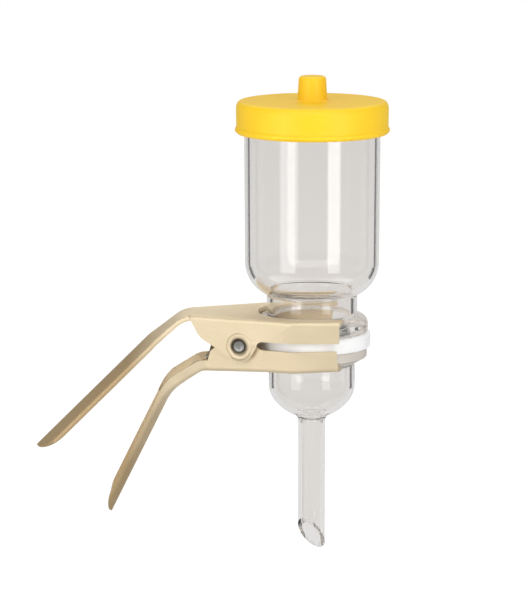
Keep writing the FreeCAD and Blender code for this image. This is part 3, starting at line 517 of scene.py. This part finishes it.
funnel = turned(
    "funnel_glass", [*flange, *fillet, *outside, *rim, *inside_shoulder(ease=2.2)],
    "glassware", glass, ["funnel"],
)

# %% [markdown]
# ## The receiver
#
# Below the ring the same glass goes on: a flange with a sloping underside for the clamp, a short bowl,
# a domed bottom, and a narrow stem sealed on to it. The stem's end is ground off at a slant so that the
# last drop runs to one point. A section can't hold that slant, so the stem is turned straight here and
# its end is taken off next.
#
# The dome's section is two arcs that touch: a small one, the knuckle, that turns in from the bowl's wall,
# and a large one, the crown, under the middle. The crown's radius follows from the dome's depth.

# %% Receiver section
UNDER = RING - HALF_RING  # the receiver's ground face
BOWL, BOWL_WALL, BOWL_FOOT = 11.2, 1.15, UNDER - 10.0
SEAT, SEAT_EDGE, SEAT_SLOPE = 14.3, 2.5, 30  # the flange's radius, its upright rim and its slope below
DOME, KNUCKLE = 9.0, 6.8  # the dome's depth and its small radius
STEM, BORE, TIP = 3.5, 2.4, UNDER - 54.6  # the stem's two radii and the height of its lowest point
SPARE = 2  # the stem is turned this much too long, and ground back later
ROOT = 2.0  # the round where the stem leaves the dome
knuckle_at = BOWL - KNUCKLE
crown = (knuckle_at**2 + DOME**2 - KNUCKLE**2) / (2 * (DOME - KNUCKLE))
crown_at = BOWL_FOOT + crown - DOME
side = math.degrees(math.atan2(knuckle_at, crown_at - BOWL_FOOT))
root_angle = math.degrees(math.asin((STEM + ROOT) / (crown + ROOT)))
root_at = crown_at - (crown + ROOT) * math.cos(math.radians(root_angle))
inner = crown - BOWL_WALL
bore_angle = math.degrees(math.asin(BORE / inner))
receiver_section = [
    (BORE, TIP - SPARE), (STEM, TIP - SPARE),
    *sweep((STEM + ROOT, root_at), ROOT, 180, 90 + root_angle, 8),
    *sweep((0, crown_at), crown, -90 + root_angle, -90 + side, 10)[1:],
    *sweep((knuckle_at, BOWL_FOOT), KNUCKLE, -90 + side, 0, 14)[1:],
    *rounded([
        (BOWL, UNDER - SEAT_EDGE - (SEAT - BOWL) * math.tan(math.radians(SEAT_SLOPE)), 0.9),
        (SEAT, UNDER - SEAT_EDGE, 0.4),
        (SEAT, UNDER - LIFT, 0.35),
        (BOWL - BOWL_WALL, UNDER - LIFT, 0.0),
        (BOWL - BOWL_WALL, BOWL_FOOT, 0.0),
    ], steps=6)[:-1],
    *sweep((knuckle_at, BOWL_FOOT), KNUCKLE - BOWL_WALL, 0, -90 + side, 14),
    *sweep((0, crown_at), inner, -90 + side, -90 + bore_angle, 10)[1:],
]
receiver = turned(
    "receiver_glass", receiver_section, "glassware", glass, ["receiver"]
)
print("stem tip at", round(TIP, 2), "mm")

# %% [markdown]
# ## Grinding the stem's end
#
# The bevel rises across the stem at 53 degrees and looks to the front left. The cut opens the hollow
# wall, so its rim is filled with a flat ring between the outer edge and the bore's edge. A grinder takes
# the end off in one plane, and a plane through the mesh does the same.

# %% The bevel
BEVEL, BEVEL_TURN = math.radians(53.0), math.radians(59.0)


def grind(piece):
    """Takes the stem's end off along a slanting plane that just leaves its lowest point."""
    work = bmesh.new()
    work.from_mesh(piece.data)
    spin = Matrix.Rotation(BEVEL_TURN, 3, "Z")
    low = spin @ Vector((STEM * MM, 0, TIP * MM))
    normal = spin @ Vector((-math.sin(BEVEL), 0, -math.cos(BEVEL)))
    everything = work.verts[:] + work.edges[:] + work.faces[:]
    cut = bmesh.ops.bisect_plane(work, geom=everything, plane_co=low, plane_no=normal, clear_outer=True)
    edges = [e for e in cut["geom_cut"] if isinstance(e, bmesh.types.BMEdge)]
    bmesh.ops.bridge_loops(work, edges=edges)
    bmesh.ops.recalc_face_normals(work, faces=work.faces)
    open_edges = sum(1 for e in work.edges if len(e.link_faces) != 2)
    work.to_mesh(piece.data)
    work.free()
    piece.data.set_sharp_from_angle(angle=math.radians(CREASE))
    print("ground end, open edges left:", open_edges)


grind(receiver)

# %% [markdown]
# Clear glass lets a lamp's light through, and only bends it. A renderer that doesn't follow light from the
# lamp through the glass draws that as a solid shadow instead, which darkens everything behind and below
# the glass. So the two glass pieces cast none.

# %% Glass casts no shadow
for piece in (funnel, receiver):
    piece.visible_shadow = False
    print(piece.name, "casts no shadow")

# %% [markdown]
# ## The ring
#
# The ring sits between the two ground faces. Its edge is rounded, and a rebate in its upper face holds
# the filter support flush. It comes off a lathe too, so it is one more section carried round.

# %% Ring
RING_BORE, RING_EDGE = 10.4, 15.2
REBATE, REBATE_FLOOR = 12.55, FACE - 1.0
ring_section = rounded([
    (RING_BORE, UNDER, 0.15), (RING_EDGE, UNDER, 0.7), (RING_EDGE, FACE, 0.7),
    (REBATE, FACE, 0.1), (REBATE, REBATE_FLOOR, 0.0), (RING_BORE, REBATE_FLOOR, 0.1),
])
turned("sealing_ring", ring_section, "glassware", ptfe, ["gasket_ring"])

# %% [markdown]
# ## The lid
#
# The lid is pushed over the cup's rim. Its skirt has a rounded bead at the open edge, where fingers push
# it off, the top falls away to the skirt in a round, and the knob stands on a small fillet. Inside, a
# low ring fits into the cup. All of it is one moulding, so it is one section.

# %% Lid
STOP = RIM + WALL / 2 + 0.05  # the lid's inner face, just clear of the cup's rim
SKIRT_END, TOP, KNOB_TOP = STOP - 5.6, STOP + 2.8, STOP + 9.2
PLUG, PLUG_END = 14.45, STOP - 2.4
GROOVE = CUP + 0.15  # the skirt's inside, just clear of the cup
plug = [(PLUG, STOP, 0.3), (PLUG, PLUG_END, 0.5), (PLUG + 1.3, PLUG_END, 0.4), (PLUG + 1.6, STOP, 0.0)]
skirt = [(GROOVE, STOP, 0.0), (GROOVE, SKIRT_END, 0.25), (19.2, SKIRT_END, 0.35)]
bead = [(19.95, SKIRT_END + 0.65, 0.45), (19.93, SKIRT_END + 1.3, 0.4), (19.6, SKIRT_END + 1.7, 0.6)]
crown_of_lid = [(19.65, STOP + 1.3, 0.5), (19.15, TOP, 1.1), (3.85, TOP, 0.6)]
knob = [(3.5, KNOB_TOP, 0.9), (0, KNOB_TOP, 0), (0, STOP, 0)]
lid_section = rounded([*plug, *skirt, *bead, *crown_of_lid, *knob], steps=8)
turned("push_on_lid", lid_section, "lid", silicone, ["lid"])

# %% [markdown]
# ## The clamp
#
# The clamp's two halves are the part's most worked pieces, and the measured model holds their true
# shape: sheet 0.9 mm thick, bent over and cut. Its mesh is loose triangles, so a copy is merged into one
# skin first. Then its rounds shade smoothly and its cut edges stay crisp. Drawing the bends again by hand
# would only lose the measured shape.

# %% Sheet-metal halves
PRESSED_CREASE = 22  # the facets of a bend meet at less than this many degrees, and cut edges at more
SAME_POINT = 0.002 * MM  # two points closer than this are one


def evened(piece):
    """Lets each large flat face keep its own direction, so only the bends shade round."""
    weights = piece.modifiers.new("weights", "WEIGHTED_NORMAL")
    weights.keep_sharp = True
    weights.weight = 100
    ready = piece.evaluated_get(bpy.context.evaluated_depsgraph_get())
    mesh = bpy.data.meshes.new_from_object(ready)
    piece.modifiers.clear()
    piece.data = mesh


def pressed(name, node, body):
    """A smooth copy of one half of the clamp."""
    work = bmesh.new()
    work.from_mesh(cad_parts[node].data)
    bmesh.ops.remove_doubles(work, verts=work.verts, dist=SAME_POINT)
    mesh = mesh_of(work, name)
    evened(finished(name, mesh, body, anodised, [node], PRESSED_CREASE))


pressed("upper_clamp_half", "upper_jaw", "upper_jaw")
pressed("lower_clamp_half", "lower_jaw", "glassware")

# %% [markdown]
# ## The pin
#
# The pin is turned bar. Each end is dished in the middle with a small chamfer round it, and shows inside
# the collar that the upper half is stamped with. It lies across the clamp, so its section is turned about
# the upright axis first and then laid along Y, level with the clamp's own slight tilt.

# %% Pin
HALF = 11.56  # half the pin's length
ON_PIN = Matrix.Translation(PIN_AT) @ Matrix.Rotation(math.radians(-0.2), 4, "Y")
dish = [(0, 0.3), (0.7, 0.27), (1.0, 0.12), (1.12, 0.02)]  # radius, and depth below the end
chamfer = [(1.2, 0), (1.36, 0), (1.49, 0.08), (1.55, 0.24)]
pin_section = [(r, depth - HALF) for r, depth in [*dish, *chamfer]]
pin_section += [(r, -z) for r, z in reversed(pin_section)]
laid = ON_PIN @ Matrix.Rotation(math.radians(90), 4, "X")
turned("clamp_pin", pin_section, "glassware", pin_steel, ["pivot_pin"], 64, laid)

# %% [markdown]
# ## Growing pieces with Geometry Nodes
#
# Two pieces follow a rule, so a tree of nodes grows them from named sizes. A helper sets up such a tree,
# gives it its sizes, reads the result as a plain mesh and takes the tree off again, because the frame
# and the export want finished meshes.


# %% Setting up and running a tree
def new_tree(name, sizes):
    """A Geometry Nodes tree with one named input for each size."""
    group = bpy.data.node_groups.new(name, "GeometryNodeTree")
    group.interface.new_socket("Geometry", in_out="OUTPUT", socket_type="NodeSocketGeometry")
    for size in sizes:
        group.interface.new_socket(size, in_out="INPUT", socket_type="NodeSocketFloat")
    tree = Tree(group)
    inputs = group.nodes.new("NodeGroupInput")
    return group, tree, {size: Part(tree, inputs.outputs[size]) for size in sizes}


def close_tree(tree, shape, material):
    """Makes the shape real, gives it its finish and sends it out of the tree."""
    real = tree.add("GeometryNodeRealizeInstances", {}, {0: shape})
    smooth = tree.add("GeometryNodeSetShadeSmooth", {}, {0: real})
    done = tree.add("GeometryNodeSetMaterial", {}, {"Geometry": smooth, "Material": material})
    tree.add("NodeGroupOutput", {}, {0: done})


def grown(name, group, sizes):
    """Runs a tree with its sizes and keeps the result as a plain mesh."""
    seed = in_scene(name + "_seed", bpy.data.meshes.new(name + "_seed"))
    modifier = seed.modifiers.new("Grow", "NODES")
    modifier.node_group = group
    for item in group.interface.items_tree:
        if item.in_out == "INPUT" and item.name in sizes:
            modifier[item.identifier] = float(sizes[item.name])
    ready = seed.evaluated_get(bpy.context.evaluated_depsgraph_get())
    mesh = bpy.data.meshes.new_from_object(ready)
    mesh.name = name
    bpy.data.objects.remove(seed)
    return mesh


# %% [markdown]
# ## The spring
#
# A torsion spring is one wire: a leg, a coil and another leg. Along the wire the angle grows until the
# coil is used up, and what is left of the length runs on straight. So one rule places every point: turn
# to the nearest angle that the coil has, then go along its tangent by what is over. The legs press on
# the two webs and push the jaws shut.

# %% Spring sizes
WIRE, COIL, TURNS = 0.6, 2.5, 4  # the radii of the wire and of the coil, in mm
REACH, ROOM = 9.1, 9.05  # how far back the legs reach, and the room for the coil along the pin
UPPER_WEB, LOWER_WEB = 6.42, 6.08  # how far the inside of each web is from the pin's axis
LEG_GAP = 0.12  # between a leg and its web
LOWER_TILT = math.radians(2.7)  # the lower half is tilted more than the pin
POINTS = 260  # along the whole wire


def leg(web):
    """The angle and length of a leg that ends under a web. Each sets the other, so both are worked out
    again with the better value until they settle."""
    room = web - WIRE - LEG_GAP
    angle = math.atan2(room - COIL, REACH)
    for _ in range(5):
        rise, run = room - COIL * math.cos(angle), REACH + COIL * math.sin(angle)
        angle = math.atan2(rise, run)
    return angle, math.hypot(rise, run)


(up, up_length), (down, down_length) = leg(UPPER_WEB), leg(LOWER_WEB)
down += LOWER_TILT
whole = 2 * math.pi * TURNS + math.pi - up - down
width = ROOM / (1 + (up_length + down_length) / (whole * COIL))
print("spring legs rise", round(math.degrees(up), 1), "and fall", round(math.degrees(down), 1), "degrees")

# %% [markdown]
# The tree starts from a straight line of points, works the rule out for all of them at once, and carries
# a circle along the path that they make. A helix from a menu could give the coil, but its legs would have
# to be joined on, with a kink at each join.

# %% Spring tree
spring_sizes = {
    "Wire": WIRE * MM, "Coil": COIL * MM, "Angle": whole, "Start": down - math.pi / 2,
    "First leg": down_length * MM, "Last leg": up_length * MM, "Width": width * MM, "Points": POINTS,
}
spring_tree, tree, size = new_tree("torsion_spring_rule", spring_sizes)
index = tree.add("GeometryNodeInputIndex")
length = size["First leg"] + size["Last leg"] + size["Angle"] * size["Coil"]
along = (index * length).maths("DIVIDE", size["Points"] - 1) - size["First leg"]
wanted = along.maths("DIVIDE", size["Coil"])
angle = wanted.maths("MAXIMUM", 0.0).maths("MINIMUM", size["Angle"])
over = (wanted - angle) * size["Coil"]
at = angle + size["Start"]
lead = size["Width"].maths("DIVIDE", size["Angle"])
across = 0.5 * size["Width"] - wanted * lead
x = at.maths("COSINE") * size["Coil"] - at.maths("SINE") * over
z = at.maths("SINE") * size["Coil"] + at.maths("COSINE") * over
point = tree.add("ShaderNodeCombineXYZ", {}, [x, across, z])
line = tree.add("GeometryNodeMeshLine", {}, {"Count": POINTS})
placed = tree.add("GeometryNodeSetPosition", {}, {"Geometry": line, "Position": point})
path = tree.add("GeometryNodeMeshToCurve", {}, {"Mesh": placed})
around = tree.add("GeometryNodeCurvePrimitiveCircle", {}, {"Resolution": 20, "Radius": size["Wire"]})
wire = tree.add(
    "GeometryNodeCurveToMesh", {}, {"Curve": path, "Profile Curve": around, "Fill Caps": True}
)
close_tree(tree, wire, wire_steel)
mesh = grown("torsion_spring_wire", spring_tree, spring_sizes)
mesh.transform(ON_PIN)
spring = finished(
    "torsion_spring_wire", mesh, None, wire_steel, ["torsion_spring"]
)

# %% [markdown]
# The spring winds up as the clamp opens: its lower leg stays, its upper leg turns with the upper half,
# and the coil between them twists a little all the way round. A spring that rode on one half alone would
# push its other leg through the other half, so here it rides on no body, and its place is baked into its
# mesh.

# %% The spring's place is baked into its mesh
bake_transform(spring)

# %% [markdown]
# ## The filter support
#
# A perforated disc lies in the ring's rebate and carries the filter. It is a hair thinner than the rebate
# is deep, so that it shares a plane with nothing. Its holes stand on three rings of six, twelve and
# eighteen, round one in the middle. The tree places a punch on every point of those rings and takes all
# the punches out of the disc at once, as a press does.

# %% Support tree
support_sizes = {"Radius": 12.5 * MM, "Thickness": 0.96 * MM, "Hole": 0.95 * MM, "Pitch": 2.9 * MM}
HOLE_RINGS = 3
support_tree, tree, size = new_tree("filter_support_rule", support_sizes)
disc = tree.add(
    "GeometryNodeMeshCylinder", {"fill_type": "NGON"},
    {"Vertices": 128, "Radius": size["Radius"], "Depth": size["Thickness"]},
)
punch = tree.add(
    "GeometryNodeMeshCylinder", {"fill_type": "NGON"},
    {"Vertices": 24, "Radius": size["Hole"], "Depth": 3 * size["Thickness"]},
)
hole_rings = [tree.add("GeometryNodeMeshLine", {}, {"Count": 1})]
for number in range(1, HOLE_RINGS + 1):
    sockets = {"Vertices": 6 * number, "Radius": number * size["Pitch"]}
    hole_rings.append(tree.add("GeometryNodeMeshCircle", {}, sockets))
spots = tree.add("GeometryNodeJoinGeometry")
for hole_ring in hole_rings:
    tree.nodes.links.new(hole_ring.socket, spots.socket.node.inputs[0])
punches = tree.add("GeometryNodeInstanceOnPoints", {}, {"Points": spots, "Instance": punch})
real_punches = tree.add("GeometryNodeRealizeInstances", {}, {0: punches})
pierced = tree.add(
    "GeometryNodeMeshBoolean", {"operation": "DIFFERENCE", "solver": "EXACT"},
    {"Mesh 1": disc, "Mesh 2": real_punches},
)
close_tree(tree, pierced, screen_steel)
mesh = grown("filter_support_plate", support_tree, support_sizes)
mesh.transform(Matrix.Translation((0, 0, (FACE + REBATE_FLOOR) / 2 * MM)))
finished("filter_support_plate", mesh, "glassware", screen_steel, ["support_screen"])

# %% [markdown]
# ## Floor and backdrop
#
# Clear glass and satin metal show what is round them, so the room is part of the finish. The floor and
# backdrop are pale and plain, and run into each other in a bend, as a roll of paper does. A backdrop has
# lamps of its own. Here it glows a little instead: most for the camera, less where a face mirrors it, and
# least through glass, so that the glass keeps its shades on white. Its matt part takes the soft shadow.


# %% Backdrop
def make_backdrop():
    tree = Finish("pale_backdrop")
    rays = tree.nodes.nodes.new("ShaderNodeLightPath")
    camera, glossy, through = (
        Part(tree, rays.outputs[kind])
        for kind in ("Is Camera Ray", "Is Glossy Ray", "Is Transmission Ray")
    )
    matt = tree.add("ShaderNodeBsdfDiffuse", {}, {"Color": (0.92, 0.92, 0.92, 1)})
    glow = tree.add("ShaderNodeEmission", {}, {"Strength": 1.15 * camera + 0.6 * glossy + 0.2 * through})
    seen = camera.maths("MAXIMUM", glossy).maths("MAXIMUM", through)
    return tree.dressed_in(tree.add("ShaderNodeMixShader", {}, [0.8 * seen, matt, glow]))


def make_cove(level):
    """A floor that curves up into a back wall."""
    width, front, back, height, bend, steps = 6.0, -3.0, 3.2, 3.0, 0.8, 12
    work = bmesh.new()
    angles = [math.radians(90 * step / steps) for step in range(1, steps + 1)]
    line = [(front, level), (back - bend, level)]
    line += [(back - bend + bend * math.sin(a), level + bend * (1 - math.cos(a))) for a in angles]
    line.append((back, level + height))
    pairs = [[work.verts.new((x, y, z)) for x in (-width, width)] for y, z in line]
    for (a, b), (c, d) in zip(pairs, pairs[1:]):
        work.faces.new([a, b, d, c])
    mesh = mesh_of(work, "cove")
    mesh.materials.append(make_backdrop())
    for polygon in mesh.polygons:
        polygon.use_smooth = True
    cove = in_scene("cove", mesh)


FLOOR = cad_box[0][2] - 2 * MM
make_cove(FLOOR)
print("floor at", round(FLOOR / MM, 1), "mm")

# %% [markdown]
# ## Black cards
#
# Clear glass on white has no outline. So a studio stands black cards behind it, out of sight to the left
# and right: the edge of a tube bends the view to the side, and a card shows there as one fine dark line,
# and nowhere else. The cards are hidden from the camera itself. Two tall ones draw the cup, and two low
# ones, a little further round, draw the neck and the bowl. Lines painted on the glass would stay where
# they are when the unit turns.


# %% Cards
CARD_DISTANCE, CARD_FOOT = 0.17, 0.001


def make_card(name, angle, width, height):
    """A black card that faces the unit, at an angle from straight behind it."""
    card_black = Finish(name + "_black")
    dark = card_black.add("ShaderNodeBsdfDiffuse", {}, {"Color": (0.05, 0.05, 0.05, 1)})
    work = bmesh.new()
    low, high, half = FLOOR + CARD_FOOT, FLOOR + height, width / 2
    corners = [(-half, low), (half, low), (half, high), (-half, high)]
    work.faces.new([work.verts.new((x, CARD_DISTANCE, z)) for x, z in corners])
    bmesh.ops.transform(work, matrix=Matrix.Rotation(math.radians(-angle), 4, "Z"), verts=work.verts)
    mesh = mesh_of(work, name)
    mesh.materials.append(card_black.dressed_in(dark))
    card = in_scene(name, mesh)
    card.visible_camera = False


make_card("left_card", -40.0, 0.025, 0.2)
make_card("right_card", 40.0, 0.025, 0.2)
make_card("left_low_card", -45.0, 0.030, 0.042)
make_card("right_low_card", 45.0, 0.034, 0.042)

# %% [markdown]
# ## World
#
# A studio's walls send a little light back from every side. A dim, even world does that, and keeps the
# shadows open.

# %% World
scene.world = bpy.data.worlds.new("studio")
scene.world.use_nodes = True
room = Tree(scene.world.node_tree)
room.nodes.nodes.clear()
light = room.add("ShaderNodeBackground", {}, {"Color": (1, 1, 1, 1), "Strength": 0.42})
room.add("ShaderNodeOutputWorld", {}, {"Surface": light})
print("world", scene.world.name, "with", len(room.nodes.nodes), "nodes")

# %% [markdown]
# ## Lamps
#
# A lamp is seen in glass at half the angle at which it stands, so two tall lamps close to the unit, left
# and right of the camera, draw the two upright lights on the cup. They reach down to the floor, because
# the camera looks down and a wall of glass sends its view down again. Two broad lamps hang above: one
# behind lights the faces that look up and draws the edges of the metal, and one in front fills the side
# that the camera sees. A lamp's power grows with its area, so the last number of each, its radiance, says
# how bright it looks.

# %% Lamps
LAMP_DISTANCE, LAMP_FOOT, LAMP_TOP = 0.26, FLOOR + 0.002, 0.24


def make_lamp(name, width, height, radiance):
    """A rectangular lamp that is hidden from the camera."""
    lamp = bpy.data.lights.new(name, "AREA")
    lamp.shape = "RECTANGLE"
    lamp.size, lamp.size_y = width, height
    lamp.energy = math.pi * lamp.size * lamp.size_y * radiance
    holder = in_scene(name, lamp)
    holder.visible_camera = False
    print(name, round(lamp.energy, 2), "W")
    return holder


def tall_lamp(name, angle, width, radiance):
    """An upright lamp that faces the unit, at an angle from the camera's side."""
    holder = make_lamp(name, width, LAMP_TOP - LAMP_FOOT, radiance)
    turn = math.radians(angle)
    across, front = LAMP_DISTANCE * math.sin(turn), -LAMP_DISTANCE * math.cos(turn)
    holder.location = (across, front, (LAMP_FOOT + LAMP_TOP) / 2)
    holder.rotation_euler = (math.radians(90), 0, turn)


def overhead_lamp(name, place, width, height, radiance):
    """A broad lamp overhead that faces a point in the middle of the unit."""
    holder = make_lamp(name, width, height, radiance)
    holder.location = place
    away = holder.location - Vector((0, 0, 0.04))
    holder.rotation_euler = away.to_track_quat("Z", "Y").to_euler()


tall_lamp("left_lamp", -42.0, 0.122, 2.3)
tall_lamp("right_lamp", 38.0, 0.098, 2.6)
overhead_lamp("top_lamp", (0.05, 0.40, 0.62), 0.8, 0.45, 1.5)
overhead_lamp("front_lamp", (0, -0.75, 0.70), 1.3, 0.6, 1.5)

# %% [markdown]
# ## Camera
#
# A long lens from nine tenths of a metre shows the unit as a catalogue does: almost straight on, a little
# from above, so that the lid's top and the clamp's top face just show.

# %% Camera
def make_camera(distance, rise, aim, lens):
    data = bpy.data.cameras.new("camera")
    data.sensor_fit = "HORIZONTAL"
    data.sensor_width = 36.0
    data.lens = lens
    data.clip_start, data.clip_end = 0.05, 50.0
    camera = in_scene("camera", data)
    camera.location = (0.0, -distance, RING * MM + rise)
    look = (Vector(aim) - camera.location).to_track_quat("-Z", "Y")
    camera.rotation_euler = look.to_matrix().to_euler()
    scene.camera = camera


make_camera(distance=0.870, rise=0.161, aim=(-0.0123, 0, 0.0420), lens=231.6)
print("camera", round(scene.camera.location.length, 2), "m away")

# %% [markdown]
# ## How the picture is worked out
#
# The plain view transform keeps the colours as they were chosen. Light goes to and fro inside thick glass
# many times before it gets out, so it is followed for longer than usual.

# %% Colours and light paths
scene.view_settings.view_transform = "Standard"
scene.cycles.max_bounces = scene.cycles.transmission_bounces = 32
scene.cycles.glossy_bounces = 24
print("light is followed for", scene.cycles.max_bounces, "turns")
